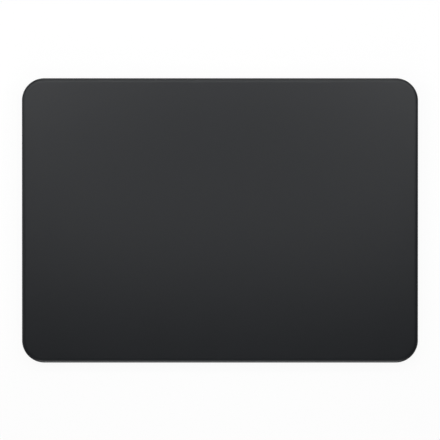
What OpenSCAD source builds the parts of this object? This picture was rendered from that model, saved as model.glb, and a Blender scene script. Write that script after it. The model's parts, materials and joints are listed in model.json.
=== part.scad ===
// Low wedge desk trackpad: a floating glass touch plate on four force-sensing flexures,
// a lateral haptic engine, a rechargeable cell, a charging port and a slide power switch.
// X runs to the right, Y to the rear, Z up; the origin is on the desk under the middle of the case.

/* [Case] */
// Width of the case, left to right
case_w = 160; // [152:0.5:175]
// Depth of the case, front to rear
case_d = 114.9; // [110:0.1:125]
// Height of the touch surface above the desk at the front edge
front_h = 4.9; // [4.8:0.1:6]
// Height of the touch surface above the desk at the rear edge
rear_h = 10.9; // [10.4:0.1:12.5]
// Radius of the four corners seen from above
corner_r = 9; // [7:0.5:12]
// Thickness of the side walls
wall_t = 1.8; // [1.4:0.1:2.2]
// Thickness of the floor
floor_t = 0.9; // [0.8:0.05:1]
// Rounding along the lower outer edge
case_edge_r = 1.6; // [0.8:0.1:2]
// Chamfer along the rim under the glass
rim_chamfer = 0.3; // [0.15:0.05:0.5]

/* [Feet] */
// Diameter of a foot
foot_d = 12; // [9:0.5:15]
// Height of the case floor above the desk
foot_stand = 0.6; // [0.4:0.05:0.7]
// Depth of the recess that holds a foot
foot_recess = 0.35; // [0.2:0.05:0.5]
// Rounding of a foot's lower edge
foot_edge_r = 0.25; // [0.1:0.05:0.35]
// Distance from the case's sides to the middle of a foot
foot_inset = 14; // [12:0.5:18]

/* [Touch plate] */
// Thickness of the glass
glass_t = 1; // [0.8:0.05:1.1]
// Rounding of the glass's upper edge
glass_edge_r = 0.45; // [0.2:0.05:0.6]
// Rounding of the glass's lower edge
glass_under_r = 0.15; // [0.05:0.05:0.2]
// How far the case's rim shows round the glass
glass_inset = 0.25; // [0.1:0.05:0.5]
// Gap left between the glass and the rim when the plate is fully pressed
rim_clear = 0.2; // [0.1:0.05:0.4]
// Thickness of the adhesive sheet under the glass
adhesive_t = 0.1; // [0.05:0.05:0.2]
// Thickness of the touch sensor board
sensor_t = 0.8; // [0.6:0.05:0.9]
// Thickness of the stiffener plate
stiffener_t = 0.6; // [0.4:0.05:0.7]
// Rounding of the stiffener's corners
stiffener_r = 3; // [1.5:0.5:5]
// How far the stiffener stays inside the sensor board's edge
stiffener_inset = 2; // [1:0.5:4]
// How far the plate gives way when pressed
press_travel = 0.2; // [0.1:0.05:0.25]
// How far the plate shifts to each side under the haptic engine
haptic_travel = 0.1; // [0.05:0.05:0.15]

/* [Suspension] */
// Length of a flexure from its clamped pad to the middle of its tip
flexure_l = 20; // [17:0.5:24]
// Length of a flexure's clamped pad
flexure_pad_l = 10; // [8:0.5:12]
// Width of a flexure's clamped pad
flexure_pad_w = 13; // [12:0.5:15]
// Width of a flexure's neck where it leaves the pad
flexure_root_w = 8; // [6:0.5:9]
// Width of a flexure's neck where it meets the tip
flexure_neck_w = 5; // [4:0.5:6]
// Diameter of a flexure's round tip
flexure_tip_d = 10; // [8.5:0.5:12]
// Thickness of a flexure's steel
flexure_t = 0.4; // [0.3:0.05:0.45]
// Diameter of a gel pad
gel_d = 8; // [6:0.5:8.5]
// Thickness of a gel pad
gel_t = 0.5; // [0.4:0.05:0.55]
// How far a flexure seat reaches past the pad that it carries
seat_lip = 0.8; // [0.4:0.1:1.2]
// Distance from a pad's edge to its screw heads
clamp_edge = 1.5; // [1:0.1:2]
// Rounding of a pad's corners
pad_r = 1.5; // [0.5:0.25:2.5]
// Length of a strain gauge film
gauge_l = 5; // [3:0.5:7]
// Width of a strain gauge film
gauge_w = 3; // [2:0.25:4]
// Thickness of a strain gauge film
gauge_t = 0.1; // [0.05:0.05:0.15]

/* [Battery] */
// Depth of the cell, front to rear
battery_d = 30; // [24:0.5:33]
// Rounding of the cell's pouch
battery_edge_r = 0.7; // [0.4:0.1:1]
// Radius of the cell's corners
cell_r = 2.5; // [1.5:0.25:4]
// Length of the sealed terrace at the cell's right end
terrace_l = 4.4; // [3.5:0.1:6]
// Thickness of that terrace
terrace_t = 1; // [0.6:0.1:1.4]
// Thickness of the cell's guard board
guard_t = 0.6; // [0.4:0.05:0.8]
// Length of the cell's guard board
guard_d = 22; // [16:0.5:24]
// Thickness of the tape under the cell
tape_t = 0.15; // [0.1:0.05:0.25]
// Width of a strip of that tape
tape_w = 9; // [5:0.5:12]

/* [Boards] */
// Thickness of the circuit boards
board_t = 0.8; // [0.6:0.05:1]
// Width of the logic board
board_w = 25; // [22:0.5:30]
// Depth of the logic board
board_d = 59; // [52:0.5:64]
// Height of the posts under the logic board
board_post_h = 0.6; // [0.4:0.05:0.8]
// Diameter of the posts under the boards
post_d = 4; // [3.6:0.1:4.6]
// Distance from a board's edges to its posts
post_inset = 3; // [2.5:0.1:3.5]
// Radius of the boards' corners
board_r = 1.2; // [0.5:0.1:2]
// Depth of the port board
port_board_d = 8; // [7.5:0.1:9]
// Length of the port board to the left of the port
port_board_left = 42; // [36:1:48]
// How far the port board runs along the logic board
port_board_lap = 18; // [17:0.5:20]
// Height of the chips
chip_h = 0.9; // [0.6:0.05:1.2]
// Side of the main controller
main_chip = 9; // [7:0.5:10]
// Side of the power controller
power_chip = 5; // [4:0.5:7]
// Side of the haptic driver
driver_chip = 5; // [4:0.5:6]
// Side of the touch sensor's controller
sensor_chip = 8; // [6:0.5:9]
// Width of the radio's shield can
shield_w = 13; // [10:0.5:15]
// Depth of the radio's shield can
shield_d = 12; // [9:0.5:14]
// Height of the radio's shield can
shield_h = 1.4; // [1:0.1:1.8]
// Radius of the shield can's corners
shield_r = 1; // [0.5:0.1:1.5]
// Rounding of the shield can's upper edge
shield_edge_r = 0.2; // [0.1:0.05:0.3]
// Diameter of the dimples in the shield can
dimple_d = 0.8; // [0.5:0.1:1]
// Depth of the dimples in the shield can
dimple_depth = 0.15; // [0.1:0.05:0.25]
// Dimples along each side of the shield can
dimple_count = 5; // [3:1:6]
// Step round the lid of a chip or a connector
chip_step = 0.15; // [0.1:0.05:0.2]
// Length of the board connectors
connector_w = 9; // [7:0.5:10]
// Depth of the board connectors
connector_d = 3.4; // [3:0.1:4]
// Height of the board connectors
connector_h = 0.8; // [0.6:0.05:1]
// Thickness of the flat leads
lead_t = 0.2; // [0.1:0.05:0.25]
// Width of the narrow flat leads
lead_w = 4; // [3:0.25:5]
// Width of the touch sensor's flat lead
sensor_lead_w = 7.8; // [6:0.2:8]
// Run over which that lead comes down to the logic board
sensor_lead_drop = 5; // [4:0.5:7]
// Length of the antenna's arm
antenna_l = 22; // [18:0.5:24]
// Width of the antenna's strip
antenna_w = 4; // [3:0.25:5]
// Height of the antenna's arm above the port board
antenna_h = 2.5; // [2:0.1:3]
// Thickness of the antenna's strip
antenna_t = 0.3; // [0.2:0.05:0.4]

/* [Charging port] */
// Height of the port's axis above the desk
port_z = 5; // [4.7:0.1:5.4]
// Width of the port's mouth
port_mouth_w = 8.34; // [8.2:0.02:8.5]
// Height of the port's mouth
port_mouth_h = 2.56; // [2.5:0.02:2.7]
// Thickness of the port's steel shell
port_shell_t = 0.3; // [0.2:0.05:0.35]
// Length of the port's shell
port_l = 7.3; // [6.5:0.1:8]
// How far the mouth lies behind the rear face
port_recess = 0.3; // [0.1:0.05:0.6]
// Bevel round the port's and the switch's openings in the rear face
opening_bevel = 0.25; // [0.1:0.05:0.4]
// Width of the contact tongue
tongue_w = 6.69; // [6.5:0.01:6.8]
// Thickness of the contact tongue
tongue_t = 0.7; // [0.6:0.02:0.8]
// Length of the contact tongue
tongue_l = 4.45; // [4:0.05:4.6]
// Depth of the moulding that closes the shell at its back
port_back_l = 1.8; // [1.4:0.1:2.2]
// Contacts on each face of the tongue
contact_count = 12; // [8:1:12]
// Spacing of the contacts
contact_pitch = 0.5; // [0.45:0.01:0.52]
// Width of a contact
contact_w = 0.25; // [0.2:0.01:0.3]
// Thickness of a contact above the tongue
contact_t = 0.04; // [0.03:0.01:0.08]
// Thickness of the clamp over the port
clamp_t = 0.3; // [0.2:0.05:0.4]
// Depth of the clamp over the port
clamp_d = 4.4; // [3.6:0.1:5]
// Distance from the port's shell to the clamp's screws
clamp_reach = 4; // [3.5:0.1:5]

/* [Power switch] */
// Distance of the switch from the middle of the rear face
switch_x = 24; // [20:0.5:28]
// Travel of the slider
slider_travel = 2.8; // [2:0.1:3.2]
// Length of the slider's cap
cap_l = 5.4; // [4.5:0.1:6.5]
// Height of the slider's cap
cap_h = 2.8; // [2.2:0.1:3]
// How far the cap lies behind the rear face
cap_recess = 0.25; // [0.1:0.05:0.5]
// Thickness of the slider's guide flange
flange_t = 0.6; // [0.4:0.05:0.8]
// How far the flange overlaps the window all round
flange_lap = 0.8; // [0.6:0.05:1]
// Radius of the flange's corners
flange_r = 1; // [0.5:0.1:1.5]
// Thickness of the coloured marker on the flange
marker_t = 0.15; // [0.1:0.05:0.25]
// Width of the switch behind the slider
switch_w = 8; // [7:0.25:10]
// Depth of the switch behind the slider
switch_d = 3; // [2.5:0.1:3.5]
// Height of the switch behind the slider
switch_h = 1.6; // [1.3:0.1:2]
// Width of the switch's nub
nub_w = 1.4; // [1:0.1:1.8]
// Height of the switch's nub
nub_h = 0.9; // [0.6:0.05:1]
// How far the nub reaches into the switch
nub_root = 0.9; // [0.6:0.05:1.2]
// Width of a finger of the slider's fork
finger_w = 0.8; // [0.6:0.05:1.2]

/* [Haptic engine] */
// Gap between the haptic bracket's ears and the logic board
haptic_gap = 5.4; // [3:0.2:8]
// Depth of the haptic engine
haptic_d = 28; // [24:0.5:30]
// Thickness of the haptic bracket
bracket_t = 0.4; // [0.3:0.05:0.5]
// Build-up of the windings round a pole
coil_t = 0.4; // [0.3:0.05:0.45]
// Depth of a pole
pole_d = 5; // [4:0.25:6]
// Width of a core's yoke
yoke_w = 5; // [4:0.25:6]
// Width of the armature bar
armature_w = 5; // [4:0.25:7]
// Length of the bracket's ears
ear_l = 6; // [5:0.25:7]
// Depth of the bracket's ears
ear_d = 6; // [5:0.25:7]
// Width of the channel for the coils' lead under the right-hand yoke
channel_w = 5; // [4.5:0.25:6]

/* [Screws and fits] */
// Diameter of the screws' shanks
screw_d = 1.4; // [1.2:0.1:1.6]
// Diameter of the screws' heads
head_d = 2.5; // [2.2:0.1:2.8]
// Height of the screws' heads
head_h = 0.45; // [0.35:0.05:0.5]
// Width of the socket in a screw's head, across its corners
socket_d = 1.25; // [1:0.05:1.4]
// Depth of the socket in a screw's head
socket_h = 0.25; // [0.2:0.05:0.3]
// Grip of the screws below what they clamp
grip_l = 0.9; // [0.7:0.05:1]
// Clearance round a screw's thread
thread_fit = 0.03; // [0.02:0.01:0.05]
// Clearance round a piece that is set in a recess or a hole
seat_fit = 0.12; // [0.08:0.01:0.2]
// Clearance round pieces that slide
slide_fit = 0.1; // [0.06:0.01:0.15]
// Running clearance to pieces that move with the plate
run_gap = 0.3; // [0.25:0.05:0.4]
// Spacing between neighbouring pieces inside the case
bay_gap = 1.2; // [0.8:0.1:1.6]
// Room between the plate's layers and the case's walls
plate_play = 0.8; // [0.6:0.05:1.2]

/* [Hidden] */
$fn = 64;

// Overall frame of the wedge
half_w = case_w / 2;
half_d = case_d / 2;
in_x = half_w - wall_t;
in_y = half_d - wall_t;
in_r = corner_r - wall_t;
mid_h = (front_h + rear_h) / 2;
tilt = atan2(rear_h - front_h, case_d);
slope_d = case_d / cos(tilt);
floor_z = foot_stand + floor_t;
corners = [for (sx = [-1, 1], sy = [-1, 1]) [sx, sy]];

// Depth of each layer's underside below the touch surface, square to it
adhesive_depth = glass_t + adhesive_t;
sensor_depth = adhesive_depth + sensor_t;
stiffener_depth = sensor_depth + stiffener_t;
gel_depth = stiffener_depth + gel_t;
flexure_depth = gel_depth + flexure_t;
rim_depth = glass_t + press_travel + rim_clear;

// Height above the desk, at a given y, of the plane that lies so deep below the touch surface
function plane_z(y, depth) = mid_h + y * tan(tilt) - depth / cos(tilt);

// Touch plate: the glass reaches over the rim, the layers below it hang between the walls
glass_w = case_w - 2 * glass_inset;
glass_d = slope_d - 2 * glass_inset;
glass_r = corner_r - glass_inset;
layer_w = 2 * (in_x - plate_play);
layer_d = 2 * (in_y - plate_play);
layer_r = in_r - plate_play;

// Feet, and the flexures above them
foot_x = half_w - foot_inset;
foot_y = half_d - foot_inset;
flexure_y = foot_y / cos(tilt);
flexure_root_x = in_x - plate_play - flexure_pad_l;
flexure_tip_x = flexure_root_x - flexure_l;
seat_in_x = flexure_root_x - seat_lip;
seat_half_d = flexure_pad_w / 2 + seat_lip;
clamp_pitch = flexure_pad_w - head_d - 2 * clamp_edge;

// Stiffener: a broad part between the flexure seats and a deep part over the flexure tips
stiffener_w = layer_w - 2 * stiffener_inset;
stiffener_d = layer_d - 2 * stiffener_inset;
stiffener_broad_d = 2 * (foot_y - seat_half_d - run_gap);
stiffener_deep_w = 2 * (flexure_tip_x + flexure_tip_d / 2 + bay_gap);

// Power slider, at rest at the left end of its window
window_l = cap_l + slider_travel + 2 * slide_fit;
window_h = cap_h + 2 * slide_fit;
flange_l = window_l + slider_travel + 2 * flange_lap;
flange_h = window_h + 2 * flange_lap;
flange_y1 = in_y - slide_fit;
flange_y0 = flange_y1 - flange_t;
slider_x = switch_x - slider_travel / 2;

// Logic board, against the right rear flexure seat
board_x1 = seat_in_x - bay_gap;
board_x0 = board_x1 - board_w;
board_x = (board_x0 + board_x1) / 2;
board_z = floor_z + board_post_h;
board_top = board_z + board_t;

// Port board, along the rear wall
port_h = port_mouth_h + 2 * port_shell_t;
port_w = port_mouth_w + 2 * port_shell_t;
port_y1 = half_d - port_recess;
port_y0 = port_y1 - port_l;
port_board_top = port_z - port_h / 2;
port_board_z = port_board_top - board_t;
port_board_x0 = -port_board_left;
port_board_x1 = board_x0 + port_board_lap;
port_board_y1 = flange_y0 - run_gap;
port_board_y0 = port_board_y1 - port_board_d;
clamp_x = port_w / 2 + clamp_reach;
port_posts = [port_board_x0 + post_inset, -clamp_x, clamp_x, port_board_x1 - post_inset];
port_post_y = (port_board_y0 + port_board_y1) / 2;
tongue_y1 = port_y0 + port_back_l + tongue_l;

// Depth of the logic board and of the cell, both in front of the port board
board_y1 = port_board_y0 - bay_gap;
board_y0 = board_y1 - board_d;
board_posts = [for (x = [board_x0 + post_inset, board_x1 - post_inset],
                    y = [board_y0 + post_inset, board_y1 - post_inset]) [x, y]];

// Cell, between the left rear flexure seat and the logic board, filling the wedge's height
battery_x0 = bay_gap - seat_in_x;
battery_x1 = board_x0 - bay_gap - terrace_l;
battery_x = (battery_x0 + battery_x1) / 2;
battery_w = battery_x1 - battery_x0;
battery_y0 = board_y1 - battery_d;
battery_y = (battery_y0 + board_y1) / 2;
battery_z = floor_z + tape_t;
battery_t = plane_z(battery_y0, stiffener_depth) - press_travel - run_gap - battery_z;
guard_w = terrace_l - battery_edge_r - run_gap;
guard_x = battery_x1 + terrace_l - guard_w / 2;
guard_z = battery_z + terrace_t;

// Haptic engine, in front of the cell, as wide as the logic board lets it be and filling the wedge's height
haptic_w = 2 * (board_x0 - haptic_gap);
haptic_y1 = battery_y0 - bay_gap;
haptic_y0 = haptic_y1 - haptic_d;
haptic_y = (haptic_y0 + haptic_y1) / 2;
haptic_room = plane_z(haptic_y0, stiffener_depth) - press_travel - run_gap - floor_z;
core_t = haptic_room - bracket_t - 2 * coil_t;
core_z = floor_z + bracket_t + coil_t;
bracket_base_w = haptic_w - 2 * ear_l;
yoke_x1 = bracket_base_w / 2 - bracket_t - seat_fit;
yoke_x0 = yoke_x1 - yoke_w;
yoke_x = (yoke_x0 + yoke_x1) / 2;
pole_x0 = armature_w / 2 + haptic_travel + run_gap;
pole_y = haptic_d / 2 - coil_t - seat_fit - pole_d / 2;
core_d = 2 * pole_y + pole_d;
coil_l = yoke_x0 - pole_x0 - 2 * bay_gap;
coil_x = (yoke_x0 + pole_x0) / 2;
ear_x = (haptic_w - ear_l) / 2;
ear_y = (haptic_d - ear_d) / 2;
ear_posts = [for (c = corners) [c[0] * ear_x, haptic_y + c[1] * ear_y]];

// Window in the stiffener, over the logic board's front end, for the sensor's controller and its lead
window_w = max(sensor_lead_w, sensor_chip) + 2 * stiffener_r;
window_y0 = board_y0;
sensor_chip_y = window_y0 + bay_gap + sensor_chip / 2;
sensor_lead_y0 = sensor_chip_y + sensor_chip / 2 + bay_gap;
sensor_lead_y1 = sensor_lead_y0 + connector_d;
window_y1 = sensor_lead_y1 + sensor_lead_drop;

// What stands on the logic board: connectors for the leads, and the chips behind the sensor's connector
plug_z = board_top + connector_h + lead_t / 2;
plug_far = connector_d / 2;
plug_bend = plug_far + lead_t;
sensor_plug_y = window_y1 + plug_bend;
port_plug_x = board_x0 + post_inset + (head_d + bay_gap + connector_w) / 2;
port_plug_y = board_y1 - bay_gap / 2 - connector_d / 2;
side_plug_x = board_x0 + bay_gap / 2 + connector_d / 2;
side_lead_end = [[side_plug_x - plug_bend, plug_z], [side_plug_x + plug_far, plug_z]];
shield_x = board_x1 - bay_gap - shield_w / 2;
main_chip_y = sensor_plug_y + connector_d / 2 + bay_gap + main_chip / 2;
shield_y = main_chip_y + main_chip / 2 + bay_gap + shield_d / 2;
power_chip_y = shield_y + shield_d / 2 + bay_gap + power_chip / 2;
driver_x = board_x0 + bay_gap + driver_chip / 2;
driver_y = haptic_y + connector_d / 2 + bay_gap + driver_chip / 2;

// Slide switch behind the slider
switch_y1 = port_board_y1 - run_gap;
nub_z = port_board_top + switch_h / 2;
nub_y1 = flange_y0 - slide_fit;

// Finishes: the outside as the photograph shows it, the inside as such pieces look
anodised = "#2c2d30";
black_glass = "#34363a";
rubber_grey = "#3a3b3d";
slider_grey = "#303134";
marker_green = "#3f9b57";
steel = "#b8babd";
spring_steel = "#9a9ca0";
soft_iron = "#7d7f84";
gel_grey = "#8f9296";
pouch_grey = "#3c3e42";
film_white = "#dcd8cc";
board_green = "#1d4a35";
chip_black = "#1b1b1d";
copper = "#b8703a";
gold = "#cfa64a";
polyimide = "#b5732c";

// Shapes that repeat

// Rectangle with round corners, centred
module rounded_rectangle(w, d, r) {
    square([w - 2 * r, d], center = true);
    square([w, d - 2 * r], center = true);
    for (c = corners)
        translate([c[0] * (w / 2 - r), c[1] * (d / 2 - r)]) circle(r);
}

// Stadium, centred, its length along X
module stadium(l, h) {
    square([l - h, h], center = true);
    for (sx = [-1, 1])
        translate([sx * (l - h) / 2, 0]) circle(h / 2);
}

// Half section of a slab from its middle outwards, with its outer edges rounded above and below
module rounded_section(reach, h, above, below) {
    difference() {
        square([reach, h]);
        if (above > 0) translate([reach - above, h - above]) square(above);
        if (below > 0) translate([reach - below, 0]) square(below);
    }
    if (above > 0) translate([reach - above, h - above]) intersection() {
        circle(above);
        square(above);
    }
    if (below > 0) translate([reach - below, below]) mirror([0, 1]) intersection() {
        circle(below);
        square(below);
    }
}

// Half section of a slab from its middle outwards, with a chamfer at its upper edge
module chamfered_section(reach, h, chamfer) {
    polygon([[0, 0], [reach, 0], [reach, h - chamfer], [reach - chamfer, h], [0, h]]);
}

// Slab with round corners that carries a section round its edge: children(0) is the half section
// drawn to the corner radius, children(1) is the same one drawn to half the width
module edged_slab(w, d, r) {
    for (c = corners)
        mirror([c[0] < 0 ? 1 : 0, 0, 0]) mirror([0, c[1] < 0 ? 1 : 0, 0])
            translate([w / 2 - r, d / 2 - r, 0]) rotate_extrude(angle = 90) children(0);
    for (turn = [0, 180])
        rotate(turn) {
            translate([0, d / 2 - r, 0]) rotate([90, 0, 0]) linear_extrude(d - 2 * r) children(1);
            translate([r - w / 2, d / 2 - r, 0]) rotate([90, 0, 90]) linear_extrude(w - 2 * r) children(0);
        }
}
module rounded_slab(w, d, h, r, above, below) {
    edged_slab(w, d, r) {
        rounded_section(r, h, above, below);
        rounded_section(w / 2, h, above, below);
    }
}
module chamfered_slab(w, d, h, r, chamfer) {
    edged_slab(w, d, r) {
        chamfered_section(r, h, chamfer);
        chamfered_section(w / 2, h, chamfer);
    }
}

// Places children in the plane of the touch surface, with z square to it
module on_slope() {
    translate([0, 0, mid_h]) rotate([tilt, 0, 0]) children();
}

// Everything deeper than a given depth below the touch surface
module below_plane(depth) {
    block_h = 4 * rear_h;
    on_slope() translate([-case_w, -case_d, -depth - block_h]) cube([2 * case_w, 2 * case_d, block_h]);
}

// Outline drawn in X and Z, drawn out forwards from a given y
module towards_front(y, l) {
    translate([0, y, 0]) rotate([90, 0, 0]) linear_extrude(l) children();
}

// Outline drawn in Y and Z, drawn out to both sides of a given x
module across(x, w) {
    translate([x - w / 2, 0, 0]) rotate([90, 0, 90]) linear_extrude(w) children();
}

// Stadium opening through the rear wall with a bevel at the outer face
module rear_opening(x, l, h) {
    straight = l - h;
    flare_h = h / 2 + 2 * opening_bevel;
    towards_front(half_d + wall_t, 3 * wall_t) translate([x, port_z]) stadium(l, h);
    translate([x, half_d + opening_bevel, port_z]) rotate([90, 0, 0]) {
        for (s = [-1, 1])
            translate([s * straight / 2, 0, 0]) cylinder(r1 = flare_h, r2 = h / 2, h = 2 * opening_bevel);
        translate([-straight / 2, 0, 0]) rotate([90, 0, 90]) linear_extrude(straight)
            polygon([[-flare_h, 0], [flare_h, 0], [h / 2, 2 * opening_bevel], [-h / 2, 2 * opening_bevel]]);
    }
}

// Screw with a socket in its head, standing on z = 0
module screw(l) {
    difference() {
        union() {
            cylinder(d = head_d, h = head_h);
            translate([0, 0, -l]) cylinder(d = screw_d, h = l + head_h / 2);
        }
        translate([0, 0, head_h - socket_h]) cylinder(d = socket_d, h = head_h, $fn = 6);
    }
}

// Hole for a screw's shank, downwards from z = 0
module screw_hole(l) {
    translate([0, 0, -l]) cylinder(d = screw_d + 2 * thread_fit, h = 2 * l);
}

// Outline of a flat lead of even thickness along points in a plane
function unit(v) = v / norm(v);
function turned(v) = [-v[1], v[0]];
function lead_normal(p, i) =
    let (n = len(p) - 1,
         before = i > 0 ? turned(unit(p[i] - p[i - 1])) : turned(unit(p[1] - p[0])),
         after = i < n ? turned(unit(p[i + 1] - p[i])) : turned(unit(p[n] - p[n - 1])),
         middle = unit(before + after))
    middle / (middle * before);
module lead_outline(p, t) {
    last = len(p) - 1;
    polygon(concat(
        [for (i = [0:last]) p[i] + lead_normal(p, i) * t / 2],
        [for (i = [last:-1:0]) p[i] - lead_normal(p, i) * t / 2]));
}

// Chip with a stepped lid, standing on a board
module chip(x, y, z, w, d, h) {
    translate([x, y, z]) {
        linear_extrude(h - chip_step) square([w, d], center = true);
        linear_extrude(h) square([w - 2 * chip_step, d - 2 * chip_step], center = true);
    }
}

// Case

// Outer form: rounded along the lower edge, cut off at the rim and chamfered there
module case_blank() {
    spare = rim_chamfer;
    intersection() {
        translate([0, 0, foot_stand]) rounded_slab(case_w, case_d, rear_h, corner_r, 0, case_edge_r);
        on_slope() translate([0, 0, -rim_depth - 2 * rear_h])
            chamfered_slab(case_w + 2 * spare, slope_d + 2 * spare, 2 * rear_h, corner_r + spare, 2 * spare);
    }
}

// Pads in the corners that the flexures are clamped to, each grown out of the side wall and the floor
module flexure_seats() {
    seat_out_x = half_w - wall_t / 2;
    intersection() {
        below_plane(flexure_depth);
        for (c = corners)
            translate([c[0] * (seat_in_x + seat_out_x) / 2, c[1] * foot_y, floor_z - floor_t / 2])
                linear_extrude(rear_h) square([seat_out_x - seat_in_x, 2 * seat_half_d], center = true);
    }
}

// Posts under the boards and under the haptic bracket's ears, grown out of the floor
module case_posts() {
    root_z = floor_z - floor_t / 2;
    for (p = concat(board_posts, ear_posts))
        translate([p[0], p[1], root_z]) cylinder(d = post_d, h = board_z - root_z);
    for (x = port_posts)
        translate([x, port_post_y, root_z]) cylinder(d = post_d, h = port_board_z - root_z);
}

// Places children where the flexure screws stand
module at_flexure_screws(depth) {
    for (c = corners, s = [-1, 1])
        at_flexure(c[0], c[1], depth) translate([-flexure_pad_l / 2, s * clamp_pitch / 2, 0]) children();
}

module lower_case() {
    color(anodised) difference() {
        union() {
            difference() {
                case_blank();
                translate([0, 0, floor_z]) linear_extrude(rear_h) rounded_rectangle(2 * in_x, 2 * in_y, in_r);
            }
            flexure_seats();
            case_posts();
        }
        for (c = corners)
            translate([c[0] * foot_x, c[1] * foot_y, 0])
                cylinder(d = foot_d + 2 * seat_fit, h = foot_stand + foot_recess);
        rear_opening(0, port_w + 2 * seat_fit, port_h + 2 * seat_fit);
        rear_opening(switch_x, window_l, window_h);
        at_flexure_screws(flexure_depth) screw_hole(grip_l);
        for (p = concat(board_posts, ear_posts))
            translate([p[0], p[1], board_z]) screw_hole(grip_l);
        for (x = port_posts)
            translate([x, port_post_y, port_board_z]) screw_hole(grip_l);
    }
}

// Rubber foot set in its recess, rounded where it meets the desk
module foot(sx, sy) {
    color(rubber_grey) translate([sx * foot_x, sy * foot_y, 0]) rotate_extrude()
        rounded_section(foot_d / 2, foot_stand + foot_recess, 0, foot_edge_r);
}
module foot_front_left() { foot(-1, -1); }
module foot_front_right() { foot(1, -1); }
module foot_rear_left() { foot(-1, 1); }
module foot_rear_right() { foot(1, 1); }

// Touch plate

module touch_glass() {
    color(black_glass) on_slope() translate([0, 0, -glass_t])
        rounded_slab(glass_w, glass_d, glass_t, glass_r, glass_edge_r, glass_under_r);
}

module glass_adhesive() {
    color(film_white) on_slope() translate([0, 0, -adhesive_depth]) linear_extrude(adhesive_t)
        rounded_rectangle(layer_w, layer_d, layer_r);
}

module touch_sensor_board() {
    color(board_green) on_slope() translate([0, 0, -sensor_depth]) linear_extrude(sensor_t)
        rounded_rectangle(layer_w, layer_d, layer_r);
}

module sensor_controller() {
    color(chip_black) on_slope() translate([0, 0, -sensor_depth]) mirror([0, 0, 1])
        chip(board_x, sensor_chip_y, 0, sensor_chip, sensor_chip, chip_h);
}

module stiffener_plate() {
    color(steel) on_slope() translate([0, 0, -stiffener_depth]) linear_extrude(stiffener_t) difference() {
        union() {
            rounded_rectangle(stiffener_w, stiffener_broad_d, stiffener_r);
            rounded_rectangle(stiffener_deep_w, stiffener_d, stiffener_r);
        }
        translate([board_x, (window_y0 + window_y1) / 2])
            rounded_rectangle(window_w, window_y1 - window_y0, stiffener_r);
    }
}

// Iron bar under the stiffener that the haptic poles pull to either side
module armature_bar() {
    color(soft_iron) intersection() {
        below_plane(stiffener_depth);
        translate([-armature_w / 2, haptic_y - core_d / 2, core_z]) cube([armature_w, core_d, rear_h]);
    }
}

// Suspension

// Places children at a corner's flexure in the plane of the touch surface, with X towards the middle
module at_flexure(sx, sy, depth) {
    on_slope() translate([sx * flexure_root_x, sy * flexure_y, -depth]) mirror([sx > 0 ? 1 : 0, 0, 0])
        children();
}

module gel_pad(sx, sy) {
    color(gel_grey) at_flexure(sx, sy, gel_depth) translate([flexure_l, 0, 0]) cylinder(d = gel_d, h = gel_t);
}
module gel_pad_front_left() { gel_pad(-1, -1); }
module gel_pad_front_right() { gel_pad(1, -1); }
module gel_pad_rear_left() { gel_pad(-1, 1); }
module gel_pad_rear_right() { gel_pad(1, 1); }

// Spring-steel beam: a clamped pad, a tapered neck and a round tip under the gel pad
module flexure(sx, sy) {
    root = flexure_root_w / 2;
    neck = flexure_neck_w / 2;
    color(spring_steel) at_flexure(sx, sy, flexure_depth) difference() {
        linear_extrude(flexure_t) {
            translate([-flexure_pad_l / 2, 0]) rounded_rectangle(flexure_pad_l, flexure_pad_w, pad_r);
            polygon([[-pad_r, -root], [0, -root], [flexure_l, -neck],
                     [flexure_l, neck], [0, root], [-pad_r, root]]);
            translate([flexure_l, 0]) circle(d = flexure_tip_d);
        }
        for (s = [-1, 1])
            translate([-flexure_pad_l / 2, s * clamp_pitch / 2, 0]) screw_hole(2 * flexure_t);
    }
}
module flexure_front_left() { flexure(-1, -1); }
module flexure_front_right() { flexure(1, -1); }
module flexure_rear_left() { flexure(-1, 1); }
module flexure_rear_right() { flexure(1, 1); }

// Film bonded to each neck close to its clamped end, where the steel bends most
module strain_gauges() {
    color(polyimide) for (c = corners)
        at_flexure(c[0], c[1], gel_depth) translate([gauge_l / 2 + seat_lip, 0, 0])
            linear_extrude(gauge_t) square([gauge_l, gauge_w], center = true);
}

module flexure_screws() {
    color(steel) at_flexure_screws(gel_depth) screw(flexure_t + grip_l - 2 * thread_fit);
}

// Flat lead from the sensor board's underside down to the logic board
module sensor_lead() {
    lead_depth = sensor_depth + lead_t / 2;
    color(polyimide) across(board_x, sensor_lead_w)
        lead_outline([[sensor_lead_y0, plane_z(sensor_lead_y0, lead_depth)],
                      [sensor_lead_y1, plane_z(sensor_lead_y1, lead_depth)],
                      [sensor_plug_y - plug_bend, plug_z],
                      [sensor_plug_y + plug_far, plug_z]], lead_t);
}

// Cell and its guard board

// Pouch with a thin sealed terrace at its right end
module battery_cell() {
    terrace_x0 = battery_x1 - cell_r;
    color(pouch_grey) {
        translate([battery_x, battery_y, battery_z])
            rounded_slab(battery_w, battery_d, battery_t, cell_r, battery_edge_r, battery_edge_r);
        translate([terrace_x0, battery_y - battery_d / 2 + cell_r, battery_z])
            cube([battery_x1 + terrace_l - terrace_x0, battery_d - 2 * cell_r, terrace_t]);
    }
}

// Two strips of stretch-release tape
module battery_tape() {
    color(film_white) for (s = [-1, 1])
        translate([battery_x, battery_y + s * (battery_d / 2 - cell_r - tape_w / 2), floor_z])
            linear_extrude(tape_t) square([battery_w - 2 * cell_r, tape_w], center = true);
}

module battery_guard_board() {
    color(board_green) translate([guard_x, battery_y, guard_z]) linear_extrude(guard_t)
        square([guard_w, guard_d], center = true);
}

module battery_lead() {
    start_z = guard_z + guard_t + lead_t / 2;
    color(polyimide) towards_front(battery_y + lead_w / 2, lead_w)
        lead_outline(concat([[guard_x - guard_w / 2, start_z], [guard_x, start_z]], side_lead_end), lead_t);
}

// Logic board and what stands on it

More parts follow.
